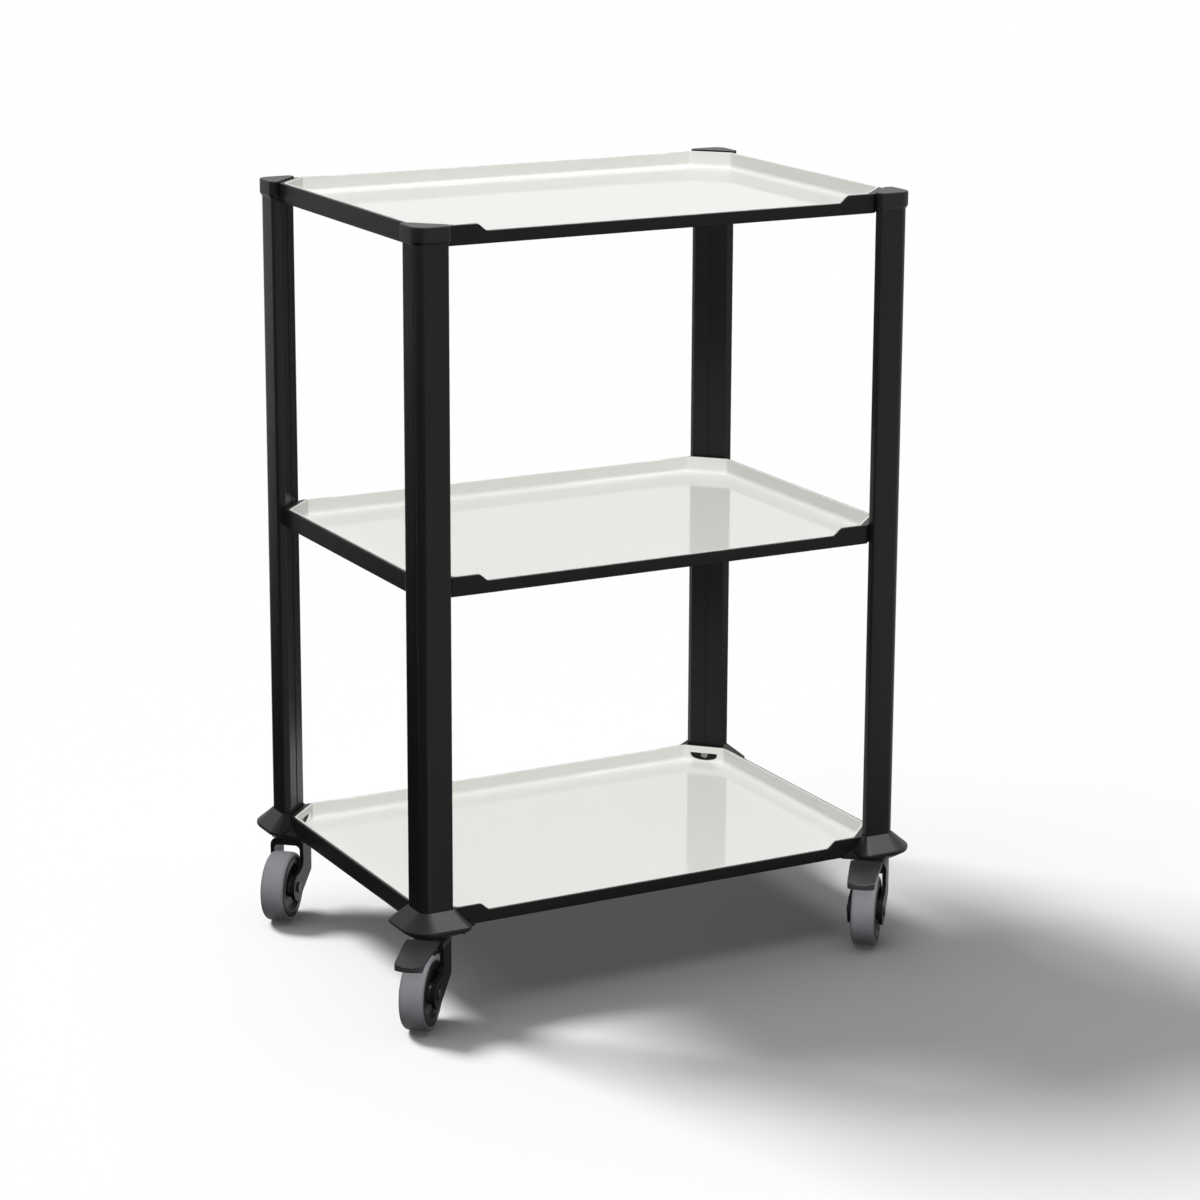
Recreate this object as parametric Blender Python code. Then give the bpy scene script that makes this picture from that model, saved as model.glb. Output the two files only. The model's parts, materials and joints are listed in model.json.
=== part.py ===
"""Three-tier trolley: four extruded corner columns, three rimmed shelf frames with drop-in trays, and swivel castors.

Units are metres and +Z is up. The front is the long side at -Y. The origin is on the floor under the middle of the
whole footprint, which the castors stretch to the front and left because all four trail that way.
"""

import bpy
import bmesh
from math import cos, pi, radians, sin, sqrt, tan
from mathutils import Matrix, Vector

# Shelves: the rims' outer size, and the height of each rim's underside above the floor
frame_width = 0.577
frame_depth = 0.400
shelf_heights = {"lower": 0.1010, "middle": 0.4648, "upper": 0.8346}
rim_height = 0.0194
front_rim_height = 0.0115
rear_rim_height = 0.0185
rim_wall = 0.0026
rim_edge = 0.0008
corner_wall = 0.0066
corner_bend = 0.0060
ledge_width = 0.0110
ledge_thickness = 0.0014
ledge_recess = 0.0010
ear_length = 0.0674
ear_slope = 0.0090
ear_rounding = 0.0024
tray_wall = 0.0024
tray_floor = 0.0022
tray_cove = 0.0045
tray_edge = 0.0005
tray_rise = 0.0008
window_width = 0.0340
window_height = 0.0095
window_sill = 0.0028

# Columns: a section with two outer faces at right angles and an inner face at 45 degrees
column_face = 0.0371
column_proud = 0.0072
column_shoulder = 0.0096
column_corner_radius = 0.0105
column_edge_radius = 0.0032
column_bend_radius = 0.0016
column_wall = 0.0022
groove_width = 0.0030
groove_depth = 0.0012
cap_top = 0.0210
cap_height = 0.0195
cap_overhang = 0.0025
cap_taper = 0.0040
cap_rounding = 0.0012
cap_crown = 0.0028
plug_depth = 0.0050
plug_wall = 0.0020

# Base castings: flared bumpers at the feet of the columns
skirt_rise = 0.0215
skirt_flare = 0.0198
skirt_end_flare = 0.0150
skirt_end_rounding = 0.0100
skirt_level = 0.0055
skirt_lip = 0.0022
skirt_undercut = 0.0140
casting_plate = 0.0044
casting_reach = 0.0100
wing_root = 0.0040
wing_length = 0.0280
wing_rise = 0.0100
wing_tip = 0.0022

# Screws that hold each shelf corner to its column
screw_radius = 0.0027
screw_length = 0.0125
screw_head_radius = 0.0044
screw_head_height = 0.0024
screw_socket_radius = 0.0016
screw_socket_depth = 0.0014

# Castors
wheel_radius = 0.0400
wheel_width = 0.0284
tread_width = 0.0270
tyre_thickness = 0.0045
tyre_shoulder = 0.0050
tyre_drop = 0.0035
hub_radius = 0.0110
hub_dish = 0.0040
rim_band = 0.0075
axle_radius = 0.0040
axle_head_radius = 0.0060
axle_head_height = 0.0016
trail = 0.0382
trail_directions = {"front_left": 228, "front_right": 231, "rear_right": 228, "rear_left": 228}
side_play = 0.0012
fork_leg = 0.0045
fork_back = 0.0190
fork_back_rounding = 0.0120
fork_heel = 0.0140
fork_heel_height = 0.0740
fork_knee_height = 0.0500
fork_toe = 0.0200
fork_waist = (0.0190, 0.0600)
fork_boss_radius = 0.0160
fork_shoulder = 0.0080
fork_arch = 0.0050
crown_thickness = 0.0078
stem_flange_radius = 0.0170
stem_flange_height = 0.0030
stem_radius = 0.0040
stem_rise = 0.0125
kingpin_radius = 0.0045
kingpin_head_radius = 0.0080
kingpin_head_height = 0.0030

# Brake pedals, on the two front castors only
pedal_pivot = (0.0140, 0.0778)
pedal_boss_radius = 0.0044
pedal_width = 0.0360
pedal_toe_width = 0.0310
pedal_offset = 0.0025
pedal_reach = 0.0790
pedal_toe_bulge = 0.0030
pedal_toe_rounding = 0.0040
pedal_drop = 0.0085
pedal_thickness = 0.0040
pedal_lip = 0.0065
pedal_pin_radius = 0.0020
pedal_arm = 0.0060
pedal_arm_width = 0.0180
shoe_width = 0.0200
shoe_length = 0.0140
shoe_gap = 0.0028

clearance = 0.0003
round_segments = 28
core_segments = 20
small_segments = 12
screw_segments = 8

corners = {
    "front_left": (-1, -1, 0),
    "front_right": (1, -1, 90),
    "rear_right": (1, 1, 180),
    "rear_left": (-1, 1, 270),
}
braked_corners = ("front_left", "front_right")

half_column = column_face / 2
rim_line = -half_column + column_proud
inner_face = (column_shoulder / sqrt(2))
ledge_bottom = -(ledge_thickness + clearance)
casting_top = ledge_bottom - clearance
casting_bottom = casting_top - casting_plate
column_inset = half_column - column_proud
head_height = shelf_heights["lower"] + casting_bottom
crown_top = head_height - stem_flange_height - 2 * clearance
crown_bottom = crown_top - crown_thickness
fork_inside = wheel_width / 2 + side_play
fork_outside = fork_inside + fork_leg


# Materials

def material(name, colour, roughness, metallic=0.0):
    made = bpy.data.materials.new(name)
    made.use_nodes = True
    shader = made.node_tree.nodes["Principled BSDF"]
    shader.inputs["Base Color"].default_value = (*colour, 1.0)
    shader.inputs["Roughness"].default_value = roughness
    shader.inputs["Metallic"].default_value = metallic
    made.diffuse_color = (*colour, 1.0)
    return made


# Outlines and solids

def rounded(points, corner_arcs):
    """The polygon with each corner replaced by an arc of (radius, segments); a radius of 0 keeps the corner."""
    outline = []
    for i, (point, (radius, segments)) in enumerate(zip(points, corner_arcs)):
        here = Vector(point)
        back = (Vector(points[i - 1]) - here).normalized()
        ahead = (Vector(points[(i + 1) % len(points)]) - here).normalized()
        if radius <= 0:
            outline.append(here)
            continue
        half_angle = back.angle(ahead) / 2
        centre = here + (back + ahead).normalized() * (radius / sin(half_angle))
        start = here + back * (radius / tan(half_angle)) - centre
        turn = start.angle_signed(here + ahead * (radius / tan(half_angle)) - centre)
        for step in range(segments + 1):
            arm = start.copy()
            arm.rotate(Matrix.Rotation(-turn * step / segments, 2))
            outline.append(centre + arm)
    return [(p.x, p.y) for p in outline]


def lofted(rings, closed=False):
    """A skin over rings of equally many points, its ends capped, or joined to each other if it is closed."""
    mesh = bpy.data.meshes.new("solid")
    work = bmesh.new()
    loops = [[work.verts.new(point) for point in ring] for ring in rings]
    count = len(loops[0])
    pairs = list(zip(loops, loops[1:] + loops[:1])) if closed else list(zip(loops, loops[1:]))
    for low, high in pairs:
        for i in range(count):
            j = (i + 1) % count
            work.faces.new((low[i], low[j], high[j], high[i]))
    if not closed:
        work.faces.new(loops[0][::-1])
        work.faces.new(loops[-1])
    bmesh.ops.recalc_face_normals(work, faces=work.faces)
    work.to_mesh(mesh)
    work.free()
    return mesh


def prism(outline, low, high):
    """The outline raised from one height to another."""
    return lofted([[(x, y, z) for x, y in outline] for z in (low, high)])


def slab(outline, half_width):
    """An outline in the XZ plane, thickened along Y to both sides."""
    return lofted([[(x, side * half_width, z) for x, z in outline] for side in (-1, 1)])


def along_x(outline):
    """An outline of (height, across) drawn out along X, past both ends of a castor."""
    return lofted([[(x, y, z) for z, y in outline] for x in (-0.06, 0.12)])


def turned(profile, segments, closed=False):
    """The profile of (radius, height) turned about Z; open profiles are capped at both ends."""
    angles = [2 * pi * i / segments for i in range(segments)]
    return lofted([[(r * cos(a), r * sin(a), z) for a in angles] for r, z in profile], closed)


def moved(mesh, matrix):
    mesh.transform(matrix)
    if matrix.determinant() < 0:
        mesh.flip_normals()
    return mesh


def combined(base, tool, operation):
    """Both meshes joined by an exact Boolean into a new mesh."""
    pair = [bpy.data.objects.new("work", mesh) for mesh in (base, tool)]
    for item in pair:
        bpy.context.scene.collection.objects.link(item)
    boolean = pair[0].modifiers.new("shape", "BOOLEAN")
    boolean.object = pair[1]
    boolean.operation = operation
    boolean.solver = "EXACT"
    graph = bpy.context.evaluated_depsgraph_get()
    result = bpy.data.meshes.new_from_object(pair[0].evaluated_get(graph))
    for item in pair:
        bpy.data.objects.remove(item)
    return result


def cut(base, *tools):
    for tool in tools:
        base = combined(base, tool, "DIFFERENCE")
    return base


def place(name, mesh, finish, parent, location=(0, 0, 0), turn=0.0):
    """One sub-part as its own object, shaded smooth across gentle angles only."""
    own = mesh.copy()
    own.name = name
    own.materials.clear()
    own.materials.append(finish)
    own.shade_smooth()
    own.set_sharp_from_angle(angle=radians(35))
    part = bpy.data.objects.new(name, own)
    bpy.context.scene.collection.objects.link(part)
    part.parent = parent
    part.location = location
    part.rotation_euler = (0, 0, turn)
    return part


def empty(name, parent, location, turn=0.0):
    point = bpy.data.objects.new(name, None)
    point.empty_display_size = 0.03
    bpy.context.scene.collection.objects.link(point)
    point.parent = parent
    point.location = location
    point.rotation_euler = (0, 0, turn)
    return point


# Shelf frames and trays

def rim_stations(side_inset, corner_inset):
    """Points round the shelf's eight-sided outline, each with the name of the rim height it takes."""
    x, y = frame_width / 2 - side_inset, frame_depth / 2 - side_inset
    face_line = frame_width / 2 + frame_depth / 2 - corner_cut() - sqrt(2) * corner_inset
    near_x, near_y = face_line - y, face_line - x
    bend = max(corner_bend - side_inset, 0.0012)
    octagon = [(-near_x, -y), (near_x, -y), (x, -near_y), (x, near_y), (near_x, y), (-near_x, y), (-x, near_y),
               (-x, -near_y)]
    points = rounded(octagon, [(bend, 2)] * 8)
    ear_end = frame_width / 2 - ear_length
    steps = [(-ear_end - ear_rounding, "full"), (-ear_end, "ear"), (-ear_end + ear_slope, "low")]
    steps += [(-across, level) for across, level in reversed(steps)]
    front = [(across, -y, "front " + level) for across, level in steps]
    rear = [(across, y, "rear " + level) for across, level in reversed(steps)]
    stations = [(*p, "full") for p in points]
    return stations[:3] + front + stations[3:15] + rear + stations[15:]


def corner_cut():
    """How much of each side the frame's cut corner takes away, so that it clears the column's 45 degree face."""
    return column_face - 2 * column_proud + column_shoulder + sqrt(2) * clearance


def rim_top(level):
    low = {"front": front_rim_height, "rear": rear_rim_height}
    if level == "full" or level.endswith("full"):
        return rim_height
    side, step = level.split()
    if step == "low":
        return low[side]
    return rim_height - (rim_height - low[side]) * ear_rounding / (ear_slope + ear_rounding)


def shelf_ring(side_inset, corner_inset, height, below_top):
    """One ring of a shelf's skin, at a fixed height or that far below the top of the rim."""
    ring = []
    for x, y, level in rim_stations(side_inset, corner_inset):
        ring.append((x, y, rim_top(level) - below_top if height is None else height))
    return ring


def shelf_frame_mesh():
    """A rim of L section: the wall, its thicker corners, and the ledge that carries the tray."""
    profile = [
        (rim_edge, rim_edge, 0.0, 0),
        (0.0, 0.0, rim_edge, 0),
        (0.0, 0.0, None, rim_edge),
        (rim_edge, rim_edge, None, 0),
        (rim_wall, corner_wall, None, 0),
        (rim_wall, corner_wall, -clearance, 0),
        (rim_wall + ledge_width, corner_wall + ledge_width, -clearance, 0),
        (rim_wall + ledge_width, corner_wall + ledge_width, ledge_bottom, 0),
        (ledge_recess, ledge_recess, ledge_bottom, 0),
        (ledge_recess, ledge_recess, 0.0, 0),
    ]
    frame = lofted([shelf_ring(*row) for row in profile], closed=True)
    for sx, sy, angle in corners.values():
        frame = cut(frame, screw_cutter(sx, sy, angle, rim_height / 2, counterbored=True))
    return frame


def tray_mesh(windows):
    """A drop-in tray: upright walls that stand just above the rim, a small cove, and a flat floor."""
    side, corner = rim_wall + clearance, corner_wall + clearance
    inner_side, inner_corner = side + tray_wall, corner + tray_wall
    profile = [
        (side + tray_edge * 4, corner + tray_edge * 4, 0.0, 0),
        (side, corner, tray_edge * 4, 0),
        (side, corner, None, tray_edge - tray_rise),
        (side + tray_edge, corner + tray_edge, None, -tray_rise),
        (inner_side - tray_edge, inner_corner - tray_edge, None, -tray_rise),
        (inner_side, inner_corner, None, tray_edge - tray_rise),
    ]
    for step in range(4):
        angle = pi / 2 * step / 3
        sweep = tray_cove * (1 - cos(angle))
        profile.append((inner_side + sweep, inner_corner + sweep, tray_floor + tray_cove * (1 - sin(angle)), 0))
    tray = lofted([shelf_ring(*row) for row in profile])
    if windows:
        for sx, sy, angle in corners.values():
            tray = cut(tray, window_cutter(sx, sy, angle))
    return tray


def corner_matrix(sx, sy, angle, height=0.0):
    """From a column's own axes, with its inner face towards +X+Y, to its place at a corner of the trolley."""
    where = Vector((sx * (frame_width / 2 - column_inset), sy * (frame_depth / 2 - column_inset), height))
    return Matrix.Translation(where) @ Matrix.Rotation(radians(angle), 4, "Z")


def outward_axis():
    """Turns +X to point along the diagonal, from the column towards the shelf's middle."""
    return Matrix.Rotation(pi / 4, 4, "Z") @ Matrix.Rotation(pi / 2, 4, "Y")


def screw_cutter(sx, sy, angle, height, counterbored):
    """The hole for a shelf screw, along the diagonal, with a recess for its head."""
    hole = screw_radius + clearance
    head = screw_head_radius + clearance
    seat = inner_face + clearance + corner_wall - screw_head_height - 2 * clearance
    profile = [(hole, inner_face - 2 * column_wall), (hole, seat)]
    if counterbored:
        profile += [(head, seat), (head, seat + 0.006)]
    else:
        profile[-1] = (hole, inner_face + 2 * column_wall)
    return moved(turned(profile, screw_segments), corner_matrix(sx, sy, angle, height) @ outward_axis())


def window_cutter(sx, sy, angle):
    """The opening in a tray's corner: flat along its top, round below."""
    top = window_sill + window_height
    half = window_width / 2
    outline = [(-top, -half), (-top, half)]
    for step in range(1, 8):
        along = pi * step / 8
        outline.append((-top + window_height * sin(along) ** 0.6, half * cos(along)))
    depth = inner_face + 2 * clearance + corner_wall
    tool = prism(outline, depth - 0.0002, depth + tray_wall + tray_cove * 0.7)
    return moved(tool, corner_matrix(sx, sy, angle) @ outward_axis())


# Columns, caps and base castings, all in the column's own axes

def section_corners(offset, end_offset, inner_offset):
    """The column's five corners with its outer faces, its ends and its 45 degree face moved inwards by the offsets."""
    outer = -half_column + offset
    end = half_column - end_offset
    line = half_column + (-half_column + column_shoulder) - sqrt(2) * inner_offset
    return [(outer, outer), (end, outer), (end, line - end), (line - end, end), (outer, end)]


def section(offset=0.0, end_offset=None, inner_offset=None, end_rounding=None):
    end_offset = offset if end_offset is None else end_offset
    inner_offset = offset if inner_offset is None else inner_offset
    corner = (max(column_corner_radius - offset, 0.001), 5)
    edge = (end_rounding or max(column_edge_radius - offset, 0.0008), 2)
    bend = (column_bend_radius, 1)
    return rounded(section_corners(offset, end_offset, inner_offset), [corner, edge, bend, bend, edge])


def column_mesh():
    """An extrusion, hollow and open at both ends, with a groove down its inner face and a hole for each screw."""
    bottom = shelf_heights["lower"] + casting_top + clearance
    top = shelf_heights["upper"] + cap_top - cap_crown - clearance
    outside, inside = section(), section(column_wall)
    rings = [[(x, y, z) for x, y in line] for line, z in (
        (outside, bottom), (outside, top), (inside, top), (inside, bottom))]
    column = lofted(rings, closed=True)
    groove = prism([(-groove_width / 2, -groove_depth), (groove_width / 2, -groove_depth),
                    (groove_width / 2, groove_depth), (-groove_width / 2, groove_depth)], bottom - 0.01, top + 0.01)
    diagonal = Matrix.Rotation(-pi / 4, 4, "Z") @ Matrix.Translation((0, inner_face, 0))
    column = cut(column, moved(groove, diagonal))
    for height in shelf_heights.values():
        hole = turned([(screw_radius + clearance, inner_face - 2 * column_wall),
                       (screw_radius + clearance, inner_face + 2 * column_wall)], screw_segments)
        lift = Matrix.Translation((0, 0, height + rim_height / 2))
        column = cut(column, moved(hole, lift @ outward_axis()))
    return column


def cap_mesh():
    """A cup over the column's outer faces, open towards the shelf, with a hollow plug that grips the extrusion."""
    low, high = cap_top - cap_height, cap_top
    ring_rows = [
        (0.0, low),
        (-cap_overhang, low + cap_taper),
        (-cap_overhang, high - cap_rounding),
        (-cap_overhang + cap_rounding * 0.3, high - cap_rounding * 0.3),
        (-cap_overhang + cap_rounding, high),
    ]
    shell = lofted([[(x, y, z) for x, y in section(o, o, 0.0)] for o, z in ring_rows])
    room = section(-clearance, -clearance, -0.004)
    shell = cut(shell, prism(room, low - 0.01, high - cap_crown))
    plug_base = high - cap_crown - plug_depth
    plug = section(column_wall + clearance)
    bore = section(column_wall + clearance + plug_wall)
    shell = combined(shell, prism(plug, plug_base, high - cap_crown / 2), "UNION")
    return cut(shell, prism(bore, plug_base - 0.01, high - cap_crown - clearance))


def wing_mesh():
    """A gusset that runs on from the skirt's end along the rim and tapers up to the rim's underside."""
    root, tip = half_column + wing_root, half_column + wing_length
    outer, tip_outer = -half_column - 0.8 * skirt_flare, rim_line - wing_tip / 2
    inner = rim_line + wing_tip
    return lofted([
        [(root, outer, casting_bottom + skirt_lip * 2), (root, outer, skirt_level), (root, inner, wing_rise),
         (root, inner, casting_bottom + clearance)],
        [(tip, tip_outer, casting_top), (tip, tip_outer, casting_top + wing_tip), (tip, inner, casting_top + wing_tip),
         (tip, inner, casting_top - clearance)],
    ])


def casting_mesh():
    """A flared collar round the column's foot, on a plate that carries the column, the shelf corner and the castor."""
    bend = skirt_end_rounding
    rows = [
        (-skirt_flare + skirt_undercut, -skirt_end_flare + skirt_undercut, bend, casting_bottom),
        (-skirt_flare + skirt_lip / 2, -skirt_end_flare + skirt_lip / 2, bend, skirt_level - skirt_lip * 2),
        (-skirt_flare, -skirt_end_flare, bend, skirt_level - skirt_lip),
        (-skirt_flare, -skirt_end_flare, bend, skirt_level),
        (-rim_edge, -rim_edge, column_edge_radius, skirt_rise),
    ]
    rings = [[(x, y, z) for x, y in section(o, e, -casting_reach, r)] for o, e, r, z in rows]
    casting = lofted(rings)
    swapped = Matrix(((0, 1, 0, 0), (1, 0, 0, 0), (0, 0, 1, 0), (0, 0, 0, 1)))
    casting = combined(casting, wing_mesh(), "UNION")
    casting = combined(casting, moved(wing_mesh(), swapped), "UNION")
    high = skirt_rise + 0.01
    casting = cut(casting, prism(section(-clearance), casting_top, high))
    edge = rim_line - clearance
    far = 3 * half_column
    line = column_shoulder
    shelf_corner = [(line - edge, edge), (far, edge), (far, far), (edge, far), (edge, line - edge)]
    casting = cut(casting, prism(shelf_corner, casting_top, high))
    bore = turned([(stem_radius + clearance, casting_bottom - 0.01), (stem_radius + clearance, high)], small_segments)
    return cut(casting, bore)


def screw_mesh():
    """A socket-head screw, its axis along +Z from the tip to the head."""
    seat = inner_face + clearance + corner_wall - screw_head_height - clearance
    top = seat + screw_head_height
    body = turned([(screw_radius, top - screw_length), (screw_radius, seat), (screw_head_radius, seat),
                   (screw_head_radius, top)], screw_segments)
    socket = turned([(screw_socket_radius, top - screw_socket_depth), (screw_socket_radius, top + 0.001)], 6)
    return moved(cut(body, socket), outward_axis())


# Castors, in axes with +X along the trail, +Z up and the floor at 0

def arc(centre, radius, start, end, segments):
    return [(centre[0] + radius * cos(start + (end - start) * i / segments),
             centre[1] + radius * sin(start + (end - start) * i / segments)) for i in range(segments + 1)]


def cross_hole(x, z, radius, half_length, segments=small_segments):
    """A cylinder along Y."""
    tool = turned([(radius, -half_length), (radius, half_length)], segments)
    return moved(tool, Matrix.Translation((x, 0, z)) @ Matrix.Rotation(pi / 2, 4, "X"))


def fork_mesh(braked):
    """Two legs under an arched, round-backed crown, shaped by its outlines from the side, from above and in front."""
    axle = (trail, wheel_radius)
    side = [(-fork_back, crown_top), (-fork_back, crown_bottom), (-fork_heel, fork_heel_height)]
    side += [(-fork_heel, fork_knee_height), *arc(axle, fork_boss_radius, radians(230), radians(465), 8)]
    side += [fork_waist, (fork_toe, crown_bottom), (fork_toe, crown_top)]
    bends = [(0.0012, 1), (0.003, 1), (0.004, 1), (0.009, 2)] + [(0, 0)] * (len(side) - 7)
    bends += [(0.008, 3), (0.002, 1), (0.001, 1)]
    fork = slab(rounded(side, bends), fork_outside)
    plan = rounded([(-fork_back, fork_outside), (-fork_back, -fork_outside), (trail + 0.03, -fork_outside),
                    (trail + 0.03, fork_outside)], [(fork_back_rounding, 5)] * 2 + [(0, 0)] * 2)
    fork = combined(fork, prism(plan, 0.0, crown_top + 0.01), "INTERSECT")
    front = [(crown_top, fork_outside), (crown_top, -fork_outside), (0.0, -fork_outside), (0.0, fork_outside)]
    fork = combined(fork, along_x(rounded(front, [(fork_shoulder, 4)] * 2 + [(0, 0)] * 2)), "INTERSECT")
    arch = [(crown_bottom, fork_inside), (crown_bottom, -fork_inside), (-0.01, -fork_inside), (-0.01, fork_inside)]
    fork = cut(fork, along_x(rounded(arch, [(fork_arch, 3)] * 2 + [(0, 0)] * 2)))
    bore = turned([(kingpin_radius + clearance, crown_bottom - 0.01), (kingpin_radius + clearance, crown_top + 0.01)],
                  small_segments)
    fork = cut(fork, cross_hole(*axle, axle_radius + clearance, 0.05), bore)
    if braked:
        fork = cut(fork, cross_hole(*pedal_pivot, pedal_pin_radius + clearance, 0.05))
    return fork


def stem_mesh():
    """The castor's fixed stem: a spigot up into the column, a flange, and the kingpin that the fork turns on."""
    head_top = crown_bottom - clearance
    return turned([
        (kingpin_head_radius - 0.001, head_top - kingpin_head_height),
        (kingpin_head_radius, head_top - kingpin_head_height + 0.001),
        (kingpin_head_radius, head_top),
        (kingpin_radius, head_top),
        (kingpin_radius, crown_top + clearance),
        (stem_flange_radius, crown_top + clearance),
        (stem_flange_radius, head_height - clearance),
        (stem_radius, head_height - clearance),
        (stem_radius, head_height + stem_rise - 0.001),
        (stem_radius - 0.001, head_height + stem_rise),
    ], small_segments)


def about_axle(mesh):
    """From turned about Z to turned about the wheel's axis, along Y."""
    return moved(mesh, Matrix.Rotation(pi / 2, 4, "X"))


def tyre_mesh():
    """A flat tread with rounded shoulders."""
    half = tread_width / 2
    inside = wheel_radius - tyre_thickness
    profile = [(inside, -half), (inside, half)]
    for step in range(4):
        angle = pi / 2 * step / 3
        profile.append((wheel_radius - tyre_drop * (1 - sin(angle)), half - tyre_shoulder * (1 - cos(angle))))
    profile += [(r, -y) for r, y in reversed(profile[2:])]
    return about_axle(turned(profile, round_segments, closed=True))


def wheel_core_mesh():
    """A moulded centre: the band that the tyre sits on, a dished web and a hub that fills the space between the legs."""
    half = wheel_width / 2
    hub_half = fork_inside - clearance * 1.5
    band = wheel_radius - tyre_thickness - clearance
    web = half - hub_dish
    side = [(axle_radius + clearance, hub_half), (hub_radius - 0.001, hub_half), (hub_radius + 0.001, web),
            (band - rim_band - 0.0015, web), (band - rim_band, half), (band, half)]
    profile = side + [(r, -y) for r, y in reversed(side)]
    return about_axle(turned(profile, core_segments, closed=True))


def axle_mesh():
    """A bolt through both legs, with a domed head and a domed nut."""
    seat = fork_outside + clearance
    end = seat + axle_head_height
    side = [(axle_head_radius - 0.0012, end), (axle_head_radius, end - 0.0012), (axle_head_radius, seat),
            (axle_radius, seat)]
    return about_axle(turned(side + [(r, -y) for r, y in reversed(side)], small_segments))


def pedal_height(x):
    """The height of the pedal's top surface, level at the crown and falling towards the toe."""
    share = (x - fork_toe) / (pedal_reach - fork_toe)
    return crown_top + 0.0010 - pedal_drop * max(share, 0.0) ** 1.6


def pedal_mesh():
    """A tapering foot plate with a turned-down toe, on an arm that runs between the legs to the pivot."""
    start = fork_toe + 2 * clearance
    steps = [start + (pedal_reach - 0.002 - start) * i / 6 for i in range(7)]
    top = [(x, pedal_height(x)) for x in steps]
    toe_low = pedal_height(pedal_reach) - pedal_lip
    toe = [(pedal_reach, pedal_height(pedal_reach) - 0.001), (pedal_reach, toe_low), (pedal_reach - 0.0045, toe_low)]
    under = [(x, z - pedal_thickness) for x, z in reversed(top[1:-1])]
    plate = slab(top + toe + under + [(start, top[0][1] - pedal_thickness)], pedal_width)
    half, toe_half = pedal_width / 2, pedal_toe_width / 2
    toe_side = pedal_reach - pedal_toe_bulge
    corners_of_plan = [(start - 0.01, half), (start - 0.01, -half), (start + 0.01, -half), (toe_side, -toe_half),
                       (pedal_reach, -toe_half / 3), (pedal_reach, toe_half / 3), (toe_side, toe_half), (start + 0.01, half)]
    bends = [(0, 0), (0, 0), (0.01, 1), (pedal_toe_rounding, 3), (0.006, 1), (0.006, 1), (pedal_toe_rounding, 3), (0.01, 1)]
    plan = [(x, y - pedal_offset) for x, y in rounded(corners_of_plan, bends)]
    plate = combined(plate, prism(plan, 0.03, crown_top + 0.02), "INTERSECT")
    x, z = pedal_pivot
    arm_top = crown_bottom - clearance
    arm = [(x - pedal_boss_radius, z), *arc((x, z), pedal_boss_radius, radians(200), radians(300), 4)]
    arm += [(start + pedal_arm, pedal_height(start) - pedal_thickness + 0.001),
            (start, pedal_height(start) - pedal_thickness + 0.001), (start, arm_top), (x, arm_top)]
    plate = combined(plate, slab(arm, pedal_arm_width / 2), "UNION")
    return cut(plate, cross_hole(x, z, pedal_pin_radius + clearance, 0.05))


def shoe_mesh():
    """The brake block under the foot plate, its underside curved to the tread."""
    inside = wheel_radius + shoe_gap
    start = fork_toe + 3 * clearance + pedal_arm
    across = [start + shoe_length * i / 4 for i in range(5)]
    low = [(x, wheel_radius + sqrt(inside * inside - (x - trail) ** 2)) for x in across]
    top = [(x, pedal_height(x) - pedal_thickness - 2 * clearance) for x in reversed(across)]
    return slab(low + top, shoe_width / 2)


def pin_mesh():
    return about_axle(turned([(pedal_pin_radius, -fork_outside + clearance), (pedal_pin_radius, fork_outside - clearance)],
                             small_segments))


def stand_on_middle(trolley):
    """Moves the trolley so that the middle of its footprint, castors included, is over the origin."""
    bpy.context.view_layer.update()
    points = [part.matrix_world @ v.co for part in bpy.data.objects if part.type == "MESH" for v in part.data.vertices]
    for axis in (0, 1):
        reach = [point[axis] for point in points]
        trolley.location[axis] = -(min(reach) + max(reach)) / 2
    bpy.context.view_layer.update()
    print("middle of the columns:", [round(v, 6) for v in trolley.location])


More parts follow.
